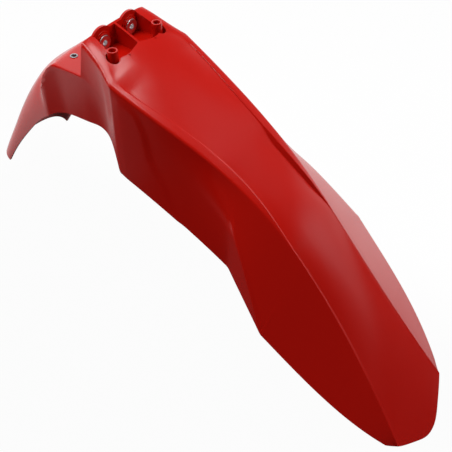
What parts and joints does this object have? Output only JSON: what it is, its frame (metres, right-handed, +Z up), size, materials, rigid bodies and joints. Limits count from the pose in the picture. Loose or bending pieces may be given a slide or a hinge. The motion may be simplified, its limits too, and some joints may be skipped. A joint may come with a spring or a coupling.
{
  "type": "motorcycle front mudguard",
  "caption": "High front mudguard for an off-road motorcycle: curved channel with raised rails, side flares, a clamp tower with metal collars, a flat deck and a down-turned tail.",
  "frame": {"origin": "midway between the two clamp bolt holes, on the tower's rear face that meets the fork clamp", "axes": "+X forward along the wheel plane, square to the clamp face; +Y to the rider's left; +Z up along the steering axis"},
  "size_m": [0.7062, 0.232, 0.4108],
  "materials": {
    "red_plastic": "gloss",
    "collar_steel": "satin",
    "eyelet_steel": "satin"
  },
  "bodies": {
    "root": {"fender_shell": "red_plastic", "left_clamp_collar": "collar_steel", "right_clamp_collar": "collar_steel", "left_deck_eyelet": "eyelet_steel", "right_deck_eyelet": "eyelet_steel"}
  },
  "joints": []
}
